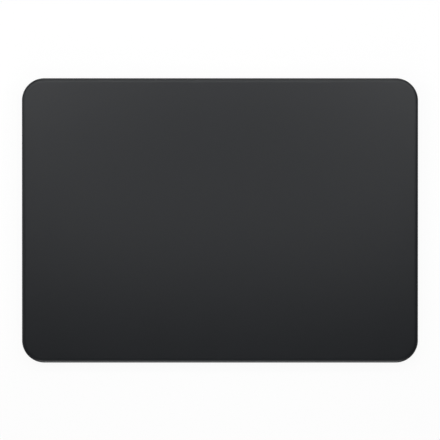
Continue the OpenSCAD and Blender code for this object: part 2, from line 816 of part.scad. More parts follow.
module logic_board() {
    color(board_green) difference() {
        translate([board_x, (board_y0 + board_y1) / 2, board_z]) linear_extrude(board_t)
            rounded_rectangle(board_w, board_d, board_r);
        for (p = board_posts)
            translate([p[0], p[1], board_z]) screw_hole(2 * board_t);
    }
}

module main_controller() {
    color(chip_black) chip(shield_x, main_chip_y, board_top, main_chip, main_chip, chip_h);
}

module power_controller() {
    color(chip_black) chip(shield_x, power_chip_y, board_top, power_chip, power_chip, chip_h);
}

module haptic_driver() {
    color(chip_black) chip(driver_x, driver_y, board_top, driver_chip, driver_chip, chip_h);
}

// Drawn steel can with a grid of dimples in its lid
module radio_shield_can() {
    pitch_x = shield_w / (dimple_count + 1);
    pitch_y = shield_d / (dimple_count + 1);
    color(steel) translate([shield_x, shield_y, board_top]) difference() {
        rounded_slab(shield_w, shield_d, shield_h, shield_r, shield_edge_r, 0);
        for (i = [1:dimple_count], j = [1:dimple_count])
            translate([i * pitch_x - shield_w / 2, j * pitch_y - shield_d / 2, shield_h - dimple_depth])
                cylinder(d = dimple_d, h = shield_h);
    }
}

module board_connectors() {
    color(film_white) {
        chip(board_x, sensor_plug_y, board_top, connector_w, connector_d, connector_h);
        chip(port_plug_x, port_plug_y, board_top, connector_w, connector_d, connector_h);
        for (y = [battery_y, haptic_y])
            chip(side_plug_x, y, board_top, connector_d, lead_w, connector_h);
    }
}

module board_screws() {
    color(steel) for (p = board_posts)
        translate([p[0], p[1], board_top]) screw(board_t + grip_l - 2 * thread_fit);
}

// Port board, the charging port and the antenna

module port_board() {
    color(board_green) difference() {
        translate([(port_board_x0 + port_board_x1) / 2, (port_board_y0 + port_board_y1) / 2, port_board_z])
            linear_extrude(board_t) rounded_rectangle(port_board_x1 - port_board_x0, port_board_d, board_r);
        for (x = port_posts)
            translate([x, port_post_y, port_board_z]) screw_hole(2 * board_t);
    }
}

module port_lead() {
    far_z = port_board_top + lead_t / 2;
    color(polyimide) across(port_plug_x, lead_w)
        lead_outline([[port_plug_y - plug_far, plug_z], [port_plug_y + plug_bend, plug_z],
                      [port_board_y0 + bay_gap / 2, far_z], [port_board_y0 + 2 * bay_gap, far_z]], lead_t);
}

// Bent strip aerial: a foot on the board, an upright and a long arm
module antenna_strip() {
    x0 = port_board_x0 + 2 * post_inset + bay_gap;
    color(gold) translate([x0, port_post_y - antenna_w / 2, port_board_top]) {
        cube([antenna_w, antenna_w, antenna_t]);
        cube([antenna_t, antenna_w, antenna_h]);
        translate([0, 0, antenna_h - antenna_t]) cube([antenna_l, antenna_w, antenna_t]);
    }
}

module charge_port_shell() {
    color(steel) towards_front(port_y1, port_l) translate([0, port_z]) difference() {
        stadium(port_w, port_h);
        stadium(port_mouth_w, port_mouth_h);
    }
}

// Moulding that closes the back of the shell and carries the tongue
module charge_port_tongue() {
    color(chip_black) {
        towards_front(port_y0 + port_back_l, port_back_l) translate([0, port_z])
            stadium(port_mouth_w - 2 * thread_fit, port_mouth_h - 2 * thread_fit);
        towards_front(tongue_y1, tongue_l + port_back_l / 2) translate([0, port_z])
            square([tongue_w, tongue_t], center = true);
    }
}

// Two rows of contacts, one on each face of the tongue
module charge_port_contacts() {
    row_w = (contact_count - 1) * contact_pitch;
    color(gold) for (i = [0:contact_count - 1], s = [-1, 1])
        towards_front(tongue_y1 - contact_pitch, tongue_l - 2 * contact_pitch)
            translate([i * contact_pitch - row_w / 2, port_z + s * (tongue_t + contact_t) / 2])
                square([contact_w, contact_t], center = true);
}

// Strap over the port's shell, screwed down through the board on both sides
module port_clamp() {
    foot_x1 = clamp_x + head_d / 2 + seat_lip;
    side_x = port_w / 2 + slide_fit + clamp_t / 2;
    foot_z = port_board_top + clamp_t / 2;
    top_z = port_z + port_h / 2 + slide_fit + clamp_t / 2;
    color(steel) difference() {
        towards_front(port_post_y + clamp_d / 2, clamp_d)
            lead_outline([[-foot_x1, foot_z], [-side_x, foot_z], [-side_x, top_z],
                          [side_x, top_z], [side_x, foot_z], [foot_x1, foot_z]], clamp_t);
        for (s = [-1, 1])
            translate([s * clamp_x, port_post_y, port_board_top]) screw_hole(2 * clamp_t);
    }
}

// The two screws beside the port hold the clamp too
module port_screws() {
    color(steel) for (x = port_posts) {
        under = abs(x) == clamp_x ? clamp_t : 0;
        translate([x, port_post_y, port_board_top + under]) screw(under + board_t + grip_l - 2 * thread_fit);
    }
}

// Power switch

module switch_body() {
    slot_w = nub_w + slider_travel + 2 * slide_fit;
    slot_h = nub_h + 2 * slide_fit;
    slot_d = nub_root + slide_fit;
    color(steel) difference() {
        translate([switch_x - switch_w / 2, switch_y1 - switch_d, port_board_top])
            cube([switch_w, switch_d, switch_h]);
        translate([switch_x - slot_w / 2, switch_y1 - slot_d, nub_z - slot_h / 2])
            cube([slot_w, 2 * slot_d, slot_h]);
    }
}

module switch_nub() {
    nub_y0 = switch_y1 - nub_root;
    color(chip_black) translate([slider_x - nub_w / 2, nub_y0, nub_z - nub_h / 2])
        cube([nub_w, nub_y1 - nub_y0, nub_h]);
}

// Where the coloured marker lies on the flange, on the side that shows when the switch is on
module marker_block() {
    towards_front(flange_y1, marker_t) translate([slider_x - (cap_l + slider_travel) / 2 - slide_fit, port_z])
        square([slider_travel, cap_h], center = true);
}

// Slider: a cap in the rear window, a guide flange behind the wall and a fork round the nub
module power_slider() {
    cap_y1 = half_d - cap_recess;
    finger_y0 = switch_y1 + slide_fit;
    color(slider_grey) difference() {
        union() {
            towards_front(cap_y1, cap_y1 - flange_y0) translate([slider_x, port_z]) stadium(cap_l, cap_h);
            towards_front(flange_y1, flange_t) translate([slider_x, port_z])
                rounded_rectangle(flange_l, flange_h, flange_r);
            for (s = [-1, 1])
                translate([slider_x + s * (nub_w + finger_w + 2 * thread_fit) / 2, 0, nub_z])
                    towards_front(flange_y0 + flange_t / 2, flange_y0 + flange_t / 2 - finger_y0)
                        square([finger_w, nub_h], center = true);
        }
        marker_block();
    }
}

module slider_marker() {
    color(marker_green) marker_block();
}

// Haptic engine

// Flat base with pads under the cores and raised ears that stand on the posts
module haptic_bracket() {
    pad_d = (core_d - channel_w) / 2;
    riser_x = (bracket_base_w - bracket_t) / 2;
    color(steel) difference() {
        union() {
            translate([0, haptic_y, floor_z]) linear_extrude(bracket_t)
                square([bracket_base_w, haptic_d], center = true);
            for (c = corners)
                translate([c[0] * yoke_x, haptic_y + c[1] * (channel_w + pad_d) / 2, floor_z])
                    linear_extrude(bracket_t + coil_t) square([yoke_w, pad_d], center = true);
            for (p = ear_posts) {
                side = sign(p[0]);
                translate([p[0] - side * bracket_t / 2, p[1], board_z]) linear_extrude(bracket_t)
                    square([ear_l + bracket_t, ear_d], center = true);
                translate([side * riser_x, p[1], floor_z]) linear_extrude(board_z + bracket_t - floor_z)
                    square([bracket_t, ear_d], center = true);
            }
        }
        for (p = ear_posts)
            translate([p[0], p[1], board_z]) screw_hole(2 * bracket_t);
    }
}

// Core with a yoke and two poles that face the armature
module haptic_core(side) {
    pole_l = yoke_x1 - pole_x0;
    color(soft_iron) translate([0, haptic_y, core_z]) linear_extrude(core_t) {
        translate([side * yoke_x, 0]) square([yoke_w, core_d], center = true);
        for (s = [-1, 1])
            translate([side * (pole_x0 + pole_l / 2), s * pole_y]) square([pole_l, pole_d], center = true);
    }
}
module haptic_core_left() { haptic_core(-1); }
module haptic_core_right() { haptic_core(1); }

// One winding round each pole
module haptic_coils() {
    color(copper) for (c = corners)
        across(c[0] * coil_x, coil_l)
            translate([haptic_y + c[1] * pole_y, core_z + core_t / 2]) difference() {
                rounded_rectangle(pole_d + 2 * coil_t, core_t + 2 * coil_t, coil_t);
                square([pole_d + 2 * thread_fit, core_t + 2 * thread_fit], center = true);
            }
}

// Flat lead from between the coils, under the right-hand yoke, to the logic board
module haptic_lead() {
    start_z = floor_z + bracket_t + lead_t / 2;
    bend_x = bracket_base_w / 2 - bay_gap;
    color(polyimide) towards_front(haptic_y + lead_w / 2, lead_w)
        lead_outline(concat([[pole_x0 + bay_gap, start_z], [bend_x, start_z]], side_lead_end), lead_t);
}

module haptic_screws() {
    color(steel) for (p = ear_posts)
        translate([p[0], p[1], board_z + bracket_t]) screw(bracket_t + grip_l - 2 * thread_fit);
}

lower_case();
foot_front_left();
foot_front_right();
foot_rear_left();
foot_rear_right();
touch_glass();
glass_adhesive();
touch_sensor_board();
sensor_controller();
stiffener_plate();
armature_bar();
gel_pad_front_left();
gel_pad_front_right();
gel_pad_rear_left();
gel_pad_rear_right();
flexure_front_left();
flexure_front_right();
flexure_rear_left();
flexure_rear_right();
strain_gauges();
flexure_screws();
sensor_lead();
battery_cell();
battery_tape();
battery_guard_board();
battery_lead();
logic_board();
main_controller();
power_controller();
haptic_driver();
radio_shield_can();
board_connectors();
board_screws();
port_board();
port_lead();
antenna_strip();
charge_port_shell();
charge_port_tongue();
charge_port_contacts();
port_clamp();
port_screws();
switch_body();
switch_nub();
power_slider();
slider_marker();
haptic_bracket();
haptic_core_left();
haptic_core_right();
haptic_coils();
haptic_lead();
haptic_screws();
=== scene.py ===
import json
import math
import random

import bmesh
import bpy
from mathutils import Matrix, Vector
from mathutils.bvhtree import BVHTree


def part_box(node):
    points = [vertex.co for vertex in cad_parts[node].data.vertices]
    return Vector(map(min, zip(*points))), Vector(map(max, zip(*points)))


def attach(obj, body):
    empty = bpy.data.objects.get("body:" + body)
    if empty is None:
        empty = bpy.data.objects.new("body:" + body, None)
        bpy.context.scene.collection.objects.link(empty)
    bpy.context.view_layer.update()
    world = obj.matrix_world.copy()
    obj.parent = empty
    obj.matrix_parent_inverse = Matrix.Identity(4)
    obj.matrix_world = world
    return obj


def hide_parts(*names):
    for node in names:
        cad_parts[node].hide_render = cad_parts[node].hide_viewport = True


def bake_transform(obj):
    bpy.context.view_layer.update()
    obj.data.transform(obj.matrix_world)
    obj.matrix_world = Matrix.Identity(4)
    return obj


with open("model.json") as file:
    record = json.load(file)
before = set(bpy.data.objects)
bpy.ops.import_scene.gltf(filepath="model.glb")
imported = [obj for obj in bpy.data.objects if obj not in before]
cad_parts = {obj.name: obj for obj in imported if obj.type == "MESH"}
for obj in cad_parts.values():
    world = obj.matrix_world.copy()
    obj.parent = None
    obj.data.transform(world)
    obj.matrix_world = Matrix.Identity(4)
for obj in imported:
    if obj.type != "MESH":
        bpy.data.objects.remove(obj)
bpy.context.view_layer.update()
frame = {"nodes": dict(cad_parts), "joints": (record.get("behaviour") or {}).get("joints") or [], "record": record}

nodes = frame["nodes"]
slotOf = {part["node"]: part["material_slot"] for part in frame["record"]["subparts"]}
mm = 0.001
pressAxis = next(joint["axis"] for joint in frame["joints"] if joint["name"] == "touch_press")
plateUp = -Vector(pressAxis).normalized()  # square to the tilted touch surface


# straight above the pad, and far away so that its sides stay parallel
cameraView = {
    "lens": 1500,
    "sensor": 36,
    "frameSide": 440,  # px
    "padWidth": 395.9,  # px across the case
    "padMiddle": (220.0, 220.45),  # px
}


def placeCamera(view):
    low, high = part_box("lower_case")
    pixel = (high.x - low.x) / view["padWidth"]
    distance = pixel * view["frameSide"] * view["lens"] / view["sensor"]
    offX, offY = (place - view["frameSide"] / 2 for place in view["padMiddle"])
    camera = bpy.data.objects.new("camera", bpy.data.cameras.new("camera"))
    camera.data.lens = view["lens"]
    camera.data.sensor_width = view["sensor"]
    camera.location = (low + high) / 2 + Vector((-offX * pixel, offY * pixel, distance))
    bpy.context.scene.collection.objects.link(camera)
    bpy.context.scene.camera = camera


placeCamera(cameraView)
bpy.context.scene.view_settings.view_transform = "Standard"
print("camera placed")


# finer layers in a noise
softDetail = 1.0
plainDetail = 2.0
fineDetail = 3.0
finestDetail = 4.0


# one output socket; arithmetic on it adds Math nodes
class Tap:
    def __init__(self, tree, socket=None):
        self.tree = tree
        self.socket = socket

    # any node: its type, its settings, then the values or links of its sockets
    def node(self, kind, settings=None, inputs=None, out=0):
        made = self.tree.nodes.new("ShaderNode" + kind)
        for name, value in (settings or {}).items():
            setattr(made, name, value)
        for name, value in (inputs or {}).items():
            if isinstance(value, Tap):
                self.tree.links.new(value.socket, made.inputs[name])
            else:
                made.inputs[name].default_value = value
        return Tap(self.tree, made.outputs[out] if made.outputs else None)

    # several outputs of the node behind this one
    def outputs(self, *names):
        return [Tap(self.tree, self.socket.node.outputs[name]) for name in names]

    def maths(self, operation, first, second=0.0):
        return self.node("Math", {"operation": operation}, {0: first, 1: second})

    def __add__(self, other):
        return self.maths("ADD", self, other)

    def __radd__(self, other):
        return self.maths("ADD", other, self)

    def __sub__(self, other):
        return self.maths("SUBTRACT", self, other)

    def __rsub__(self, other):
        return self.maths("SUBTRACT", other, self)

    def __mul__(self, other):
        return self.maths("MULTIPLY", self, other)

    def __rmul__(self, other):
        return self.maths("MULTIPLY", other, self)

    def __truediv__(self, other):
        return self.maths("DIVIDE", self, other)

    def __abs__(self):
        return self.maths("ABSOLUTE", self)

    def atLeast(self, other):
        return self.maths("MAXIMUM", self, other)

    def atMost(self, other):
        return self.maths("MINIMUM", self, other)

    def root(self):
        return self.maths("SQRT", self)

    # 0 on each line, 0.5 half-way to the next
    def lines(self, pitch):
        return self.maths("PINGPONG", self / pitch, 0.5)

    # 0 below low, 1 above high, smooth between
    def step(self, low, high):
        limits = {"Value": self, "From Min": low, "From Max": high}
        return self.node("MapRange", {"interpolation_type": "SMOOTHSTEP"}, limits)

    # a pattern about 0.5 becomes one about the middle value
    def about(self, middle, spread):
        return self * spread + (middle - spread / 2)

    # this pattern with a share of another
    def mixed(self, other, share):
        return self * (1 - share) + other * share

    # this value as the share of the second colour
    def colour(self, first, second):
        return self.node("Mix", {"data_type": "RGBA"}, {0: self, 6: first, 7: second}, 2)

    def axes(self):
        return self.node("SeparateXYZ", {}, {0: self}).outputs("X", "Y", "Z")

    def stretch(self, x, y, z):
        return self.node("VectorMath", {"operation": "MULTIPLY"}, {0: self, 1: (x, y, z)})

    # features about this many mm across
    def noise(self, size, detail=plainDetail):
        return self.node("TexNoise", {}, {"Vector": self, "Scale": 1 / size, "Detail": detail})

    # distance from the middle of the nearest cell
    def cells(self, size):
        return self.node("TexVoronoi", {}, {"Vector": self, "Scale": 1 / size}, "Distance")

    # depth in mm
    def bump(self, depth):
        return self.node("Bump", {}, {"Height": self, "Distance": depth * mm})


# a new finish, and a start for its nodes
def bareFinish(name):
    finish = bpy.data.materials.new(name)
    finish.use_nodes = True
    finish.node_tree.nodes.clear()
    return finish, Tap(finish.node_tree)


# a new finish, and the place on the object in mm
def newFinish(name):
    finish, start = bareFinish(name)
    return finish, start.node("TexCoord", {}, {}, "Object").stretch(1 / mm, 1 / mm, 1 / mm)


def shade(place, sockets):
    shader = place.node("BsdfPrincipled", {}, sockets)
    place.node("OutputMaterial", {}, {"Surface": shader})


def rgb(red, green, blue):
    return (red, green, blue, 1)


def times(colour, factor):
    return rgb(*(factor * part for part in colour[:3]))


# lengths in the looks are in mm
# a rise gives the two values of a pattern between which its mask goes from 0 to 1
edgeLook = {
    "samples": 6,
    "rise": (0.01, 0.15),  # of 1 less the cosine of the turn at an edge
}


# 1 along the edges of a solid, 0 on its faces
def edgeWear(place, reach):
    rounded = place.node("Bevel", {"samples": edgeLook["samples"]}, {"Radius": reach * mm})
    facing = place.node("NewGeometry", {}, {}, "Normal")
    same = place.node("VectorMath", {"operation": "DOT_PRODUCT"}, {0: rounded, 1: facing}, "Value")
    return (1 - same).step(*edgeLook["rise"])


glassLook = {
    "black": rgb(0.0014, 0.0025, 0.0041),
    "paler": 1.5,  # times the black, in the pits and where a cloth has wiped
    "reflectance": 0.36,  # lower than bare glass, because the face is etched
    "roughness": 0.44,
    "pit": 0.09,
    "pitDepth": 0.004,
    "pitSpread": 0.06,
    "wipe": 9.0,
    "wipeStretch": 0.35,  # a wipe is longer from front to rear
    "wipeShare": 0.5,
    "wipeSpread": 0.05,
    "polishRoughness": 0.30,
    "polishCoat": 0.16,  # roughness of the bare glass that shines along the edge
    "lap": 0.6,  # marks of the polishing
    "lapSpread": 0.04,
}


def wipedGlass(place, look):
    return place.stretch(1, look["wipeStretch"], 1).noise(look["wipe"], finestDetail)


def etchedGlass(look):
    finish, place = newFinish("etchedGlass")
    pits = place.noise(look["pit"])
    wiped = wipedGlass(place, look)
    uneven = pits.mixed(wiped, look["wipeShare"])
    roughness = pits.about(look["roughness"], look["pitSpread"])
    shade(place, {
        "Base Color": uneven.colour(look["black"], times(look["black"], look["paler"])),
        "Roughness": roughness + wiped.about(0, look["wipeSpread"]),
        "Specular IOR Level": look["reflectance"],
        "Normal": pits.bump(look["pitDepth"]),
    })
    return finish


def polishedGlass(look):
    finish, place = newFinish("polishedGlass")
    wiped = wipedGlass(place, look)
    lapped = place.noise(look["lap"])
    shade(place, {
        "Base Color": wiped.colour(look["black"], times(look["black"], look["paler"])),
        "Roughness": lapped.about(look["polishRoughness"], look["lapSpread"]),
        "Specular IOR Level": look["reflectance"],
        "Coat Weight": 1.0,
        "Coat Roughness": look["polishCoat"],
    })
    return finish


caseLook = {
    "black": rgb(0.032, 0.0335, 0.0355),
    "paler": 1.35,
    "worn": rgb(0.066, 0.068, 0.072),
    "wornShare": 0.5,
    "wornSmoother": 0.08,
    "roughness": 0.46,
    "bead": 0.11,  # a dent of the bead blasting
    "beadDepth": 0.012,
    "beadSpread": 0.12,
    "cloud": 14.0,  # faint unevenness of the dye
    "cloudShare": 0.3,
    "cloudSpread": 0.06,
    "grainRise": (0.3, 0.7),
    "edge": 0.25,
    "patch": 2.0,  # handling wears an edge in patches
    "patchRise": (0.35, 0.7),
}


def blastedMetal(look):
    finish, place = newFinish("blastedMetal")
    beads = place.noise(look["bead"], fineDetail)
    cloud = place.noise(look["cloud"], fineDetail)
    patches = place.noise(look["patch"], fineDetail).step(*look["patchRise"])
    worn = edgeWear(place, look["edge"]) * patches
    grain = beads.mixed(cloud, look["cloudShare"]).step(*look["grainRise"])
    speckled = grain.colour(look["black"], times(look["black"], look["paler"]))
    roughness = beads.about(look["roughness"], look["beadSpread"]) + cloud.about(0, look["cloudSpread"])
    shade(place, {
        "Base Color": (look["wornShare"] * worn).colour(speckled, look["worn"]),
        "Metallic": 1.0,
        "Roughness": roughness - look["wornSmoother"] * worn,
        "Normal": beads.bump(look["beadDepth"]),
    })
    return finish


footLook = {
    "grey": rgb(0.030, 0.031, 0.033),
    "dusty": rgb(0.060, 0.059, 0.057),
    "roughness": 0.78,
    "dust": 2.5,
    "dustRise": (0.45, 0.75),
    "dustShare": 0.5,
    "dustSpread": 0.12,
    "grain": 0.15,
    "grainShare": 0.3,
    "grainHeight": 0.15,  # times the ring's depth
    "ring": 4.6,  # radius of the moulded ring
    "ringWidth": 0.35,
    "ringDepth": 0.08,
    "ringSmoother": 0.08,
}


def footRubber(look):
    finish, place = newFinish("footRubber")
    low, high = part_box("foot_rear_right")
    middle = (low + high) / 2 / mm
    x, y = place.axes()[:2]
    acrossX = abs(x) - middle.x
    acrossY = abs(y) - middle.y
    offRing = abs((acrossX * acrossX + acrossY * acrossY).root() - look["ring"])
    groove = 1 - offRing.step(0, look["ringWidth"])
    grain = place.noise(look["grain"], fineDetail)
    dust = place.noise(look["dust"], finestDetail).step(*look["dustRise"])
    grey = look["grainShare"] * grain + look["dustShare"] * dust
    shade(place, {
        "Base Color": grey.colour(look["grey"], look["dusty"]),
        "Roughness": dust.about(look["roughness"], look["dustSpread"]) - look["ringSmoother"] * groove,
        "Normal": (look["grainHeight"] * grain - groove).bump(look["ringDepth"]),
    })
    return finish


mouldLook = {
    "spark": 0.07,  # spark-eroded texture of the mould
    "sparkDepth": 0.006,
    "sparkSpread": 0.10,
    "flow": 1.8,
    "flowStretch": 0.4,
    "flowShare": 0.4,
    "flowSpread": 0.06,
    "paler": 1.35,
    "edge": 0.12,
    "edgePaler": 2.2,
    "edgeShare": 0.4,
    "edgeSmoother": 0.06,
}
plastics = {
    "sliderPlastic": {"colour": rgb(0.020, 0.0205, 0.022), "roughness": 0.44},
    "portPlastic": {"colour": rgb(0.010, 0.010, 0.011), "roughness": 0.40},
    "connectorPlastic": {"colour": rgb(0.055, 0.050, 0.042), "roughness": 0.48},
}


def mouldedPlastic(name, look):
    finish, place = newFinish(name)
    colour = plastics[name]["colour"]
    spark = place.noise(look["spark"])
    flow = place.stretch(look["flowStretch"], 1, 1).noise(look["flow"])
    worn = edgeWear(place, look["edge"])
    mottled = spark.mixed(flow, look["flowShare"]).colour(colour, times(colour, look["paler"]))
    roughness = spark.about(plastics[name]["roughness"], look["sparkSpread"])
    uneven = roughness + flow.about(0, look["flowSpread"])
    shade(place, {
        "Base Color": (look["edgeShare"] * worn).colour(mottled, times(colour, look["edgePaler"])),
        "Roughness": uneven - look["edgeSmoother"] * worn,
        "Normal": spark.bump(look["sparkDepth"]),
    })
    return finish


# sheet with streaks of the rolling along x and a few scratches along y
rollLook = {
    "streak": 0.08,
    "streakDepth": 0.003,
    "streakSpread": 0.14,
    "scratch": 0.15,
    "scratchStretch": 0.04,
    "scratchRise": (0.62, 0.7),
    "scratchRougher": 0.08,
    "edge": 0.1,
    "edgeShare": 0.3,
    "edgeSmoother": 0.06,
    "darker": 0.8,
}
# a streak is so many times as long as it is wide
metals = {
    "goldPlate": {"colour": rgb(0.80, 0.55, 0.20), "roughness": 0.24, "streakLength": 4.0},
    "stampedSteel": {"colour": rgb(0.46, 0.46, 0.47), "roughness": 0.32, "streakLength": 8.0},
    "springSteel": {"colour": rgb(0.38, 0.38, 0.40), "roughness": 0.28, "streakLength": 12.0},
}


def rolledMetal(name, look):
    finish, place = newFinish(name)
    metal = metals[name]
    rolled = place.stretch(1 / metal["streakLength"], 1, 1).noise(look["streak"], fineDetail)
    drawn = place.stretch(1, look["scratchStretch"], 1).noise(look["scratch"])
    scratch = drawn.step(*look["scratchRise"])
    worn = edgeWear(place, look["edge"])
    bright = rolled.mixed(worn, look["edgeShare"])
    roughness = rolled.about(metal["roughness"], look["streakSpread"])
    shade(place, {
        "Base Color": bright.colour(times(metal["colour"], look["darker"]), metal["colour"]),
        "Metallic": 1.0,
        "Roughness": roughness + look["scratchRougher"] * scratch - look["edgeSmoother"] * worn,
        "Normal": rolled.bump(look["streakDepth"]),
    })
    return finish


# punched sheets, stacked upwards
ironLook = {
    "iron": rgb(0.22, 0.215, 0.21),
    "varnish": rgb(0.05, 0.047, 0.045),
    "roughness": 0.38,
    "sheet": 0.35,
    "seamRise": (0.02, 0.10),
    "seamDepth": 0.03,
    "seamRougher": 0.2,
    "grain": 0.2,
    "grainSpread": 0.16,
    "grainHeight": 0.3,  # times the seam's depth
}


def ironStack(look):
    finish, place = newFinish("ironStack")
    height = place.axes()[2]
    seam = 1 - height.lines(look["sheet"]).step(*look["seamRise"])
    grain = place.noise(look["grain"], fineDetail)
    shade(place, {
        "Base Color": seam.colour(look["iron"], look["varnish"]),
        "Metallic": 1.0,
        "Roughness": grain.about(look["roughness"], look["grainSpread"]) + look["seamRougher"] * seam,
        "Normal": (look["grainHeight"] * grain - seam).bump(look["seamDepth"]),
    })
    return finish


boardLook = {
    "mask": rgb(0.006, 0.030, 0.014),
    "trace": rgb(0.011, 0.058, 0.027),
    "pad": rgb(0.72, 0.50, 0.19),
    "roughness": 0.36,
    "pitch": 0.5,  # between traces
    "traceRise": (0.24, 0.28),
    "traceDepth": 0.03,
    "traceRougher": 0.06,
    "field": 4.0,  # in which traces run one way
    "fieldRise": (0.49, 0.51),
    "bare": 7.0,  # patches without traces
    "bareRise": (0.52, 0.54),
    "via": 1.4,
    "viaRise": (0.10, 0.13),
    "viaSmoother": 0.06,
}


def solderMask(look):
    finish, place = newFinish("solderMask")
    x, y = place.axes()[:2]
    lineX = x.lines(look["pitch"])
    lineY = y.lines(look["pitch"])
    turned = place.noise(look["field"], softDetail).step(*look["fieldRise"])
    bare = place.noise(look["bare"]).step(*look["bareRise"])
    trace = lineX.mixed(lineY, turned).step(*look["traceRise"]) * (1 - bare)
    via = 1 - place.cells(look["via"]).step(*look["viaRise"])
    shade(place, {
        "Base Color": via.colour(trace.colour(look["mask"], look["trace"]), look["pad"]),
        "Metallic": via,
        "Roughness": look["roughness"] + look["traceRougher"] * trace - look["viaSmoother"] * via,
        "Normal": (trace - via).bump(look["traceDepth"]),
    })
    return finish


# diamonds of copper under the mask, with thin gaps between rows and columns
gridLook = {
    "mask": boardLook["mask"],
    "copper": boardLook["trace"],
    "roughness": 0.36,
    "electrode": 4.2,  # across a diamond
    "gapRise": (0.02, 0.04),
    "copperDepth": 0.03,
    "copperRougher": 0.05,
    "grain": 0.3,
    "grainSpread": 0.10,
    "grainHeight": 0.1,  # times the copper's depth
}


def sensorGrid(look):
    finish, place = newFinish("sensorGrid")
    x, y = place.axes()[:2]
    gap = (x + y).lines(look["electrode"]).atMost((x - y).lines(look["electrode"]))
    copper = gap.step(*look["gapRise"])
    grain = place.noise(look["grain"], fineDetail)
    roughness = grain.about(look["roughness"], look["grainSpread"])
    shade(place, {
        "Base Color": copper.colour(look["mask"], look["copper"]),
        "Roughness": roughness + look["copperRougher"] * copper,
        "Normal": (copper + look["grainHeight"] * grain).bump(look["copperDepth"]),
    })
    return finish


leadLook = {
    "film": rgb(0.17, 0.060, 0.012),
    "overTrace": rgb(0.30, 0.125, 0.030),
    "roughness": 0.34,
    "pitch": 0.9,
    "traceRise": (0.22, 0.30),
    "traceDepth": 0.03,
    "weave": 0.3,
    "weaveSpread": 0.12,
}


def flatLead(look):
    finish, place = newFinish("flatLead")
    x, y = place.axes()[:2]
    trace = (x + y).lines(look["pitch"]).step(*look["traceRise"])
    weave = place.noise(look["weave"])
    shade(place, {
        "Base Color": trace.colour(look["film"], look["overTrace"]),
        "Roughness": weave.about(look["roughness"], look["weaveSpread"]),
        "Normal": trace.bump(look["traceDepth"]),
    })
    return finish


# foam sheet with closed cells
tapeLook = {
    "dark": rgb(0.016, 0.016, 0.017),
    "pale": rgb(0.042, 0.042, 0.043),
    "roughness": 0.64,
    "cell": 0.17,
    "cellDepth": 0.03,
    "cellSpread": 0.2,
}


def foamTape(look):
    finish, place = newFinish("foamTape")
    cells = place.cells(look["cell"])
    shade(place, {
        "Base Color": cells.colour(look["dark"], look["pale"]),
        "Roughness": cells.about(look["roughness"], look["cellSpread"]),
        "Normal": cells.bump(look["cellDepth"]),
    })
    return finish


# one fine grain and one coarse cloud, which do for the plain finishes
grainRise = (0.3, 0.7)
grainLooks = {
    "markerPaint": {
        "dark": rgb(0.018, 0.36, 0.060), "pale": rgb(0.028, 0.46, 0.085),
        "grain": 0.08, "cloud": 1.0, "cloudShare": 0.3,
        "depth": 0.004, "roughness": 0.42, "spread": 0.12,
    },
    "chipResin": {
        "dark": rgb(0.012, 0.012, 0.013), "pale": rgb(0.032, 0.032, 0.033),
        "grain": 0.06, "cloud": 2.0, "cloudShare": 0.3,
        "depth": 0.006, "roughness": 0.50, "spread": 0.16,
    },
    "enamelledCopper": {
        "dark": rgb(0.34, 0.110, 0.035), "pale": rgb(0.60, 0.25, 0.10), "metal": 1.0,
        "grain": 0.12, "cloud": 1.5, "cloudShare": 0.6,
        "depth": 0.003, "roughness": 0.26, "spread": 0.16,
    },
    "firedCeramic": {
        "dark": rgb(0.11, 0.060, 0.032), "pale": rgb(0.20, 0.120, 0.070),
        "grain": 0.08, "cloud": 2.0, "cloudShare": 0.5,
        "depth": 0.005, "roughness": 0.46, "spread": 0.14,
    },
    "pouchFoil": {
        "dark": rgb(0.34, 0.34, 0.35), "pale": rgb(0.46, 0.46, 0.47), "metal": 0.85,
        "grain": 0.4, "cloud": 3.0, "cloudShare": 0.9,
        "depth": 0.15, "roughness": 0.42, "spread": 0.14,
    },
    "clearGel": {
        "dark": rgb(0.40, 0.44, 0.46), "pale": rgb(0.55, 0.58, 0.60), "clear": 0.35,
        "grain": 0.2, "cloud": 0.9, "cloudShare": 0.8,
        "depth": 0.02, "roughness": 0.30, "spread": 0.15,
    },
}


def grainFinish(name):
    look = grainLooks[name]
    finish, place = newFinish(name)
    grain = place.noise(look["grain"], fineDetail)
    cloud = place.noise(look["cloud"], fineDetail)
    uneven = grain.mixed(cloud, look["cloudShare"])
    shade(place, {
        "Base Color": uneven.step(*grainRise).colour(look["dark"], look["pale"]),
        "Metallic": look.get("metal", 0.0),
        "Roughness": uneven.about(look["roughness"], look["spread"]),
        "Transmission Weight": look.get("clear", 0.0),
        "Normal": uneven.bump(look["depth"]),
    })
    return finish


finishes = {
    "anodised_case": blastedMetal(caseLook),
    "touch_glass": etchedGlass(glassLook),
    "foot_rubber": footRubber(footLook),
    "slider_plastic": mouldedPlastic("sliderPlastic", mouldLook),
    "marker_paint": grainFinish("markerPaint"),
    "black_plastic": mouldedPlastic("portPlastic", mouldLook),
    "gold_plate": rolledMetal("goldPlate", rollLook),
    "steel": rolledMetal("stampedSteel", rollLook),
    "spring_steel": rolledMetal("springSteel", rollLook),
    "soft_iron": ironStack(ironLook),
    "gel": grainFinish("clearGel"),
    "adhesive_film": foamTape(tapeLook),
    "circuit_board": solderMask(boardLook),
    "chip_resin": grainFinish("chipResin"),
    "flat_lead": flatLead(leadLook),
    "cell_pouch": grainFinish("pouchFoil"),
    "connector_plastic": mouldedPlastic("connectorPlastic", mouldLook),
    "copper_wire": grainFinish("enamelledCopper"),
}
ownFinish = {"touch_sensor_board": sensorGrid(gridLook)}  # instead of its slot's

for name, solid in nodes.items():
    solid.data.materials.clear()
    solid.data.materials.append(ownFinish.get(name, finishes[slotOf[name]]))
print("solids dressed in", len(finishes) + len(ownFinish), "finishes")


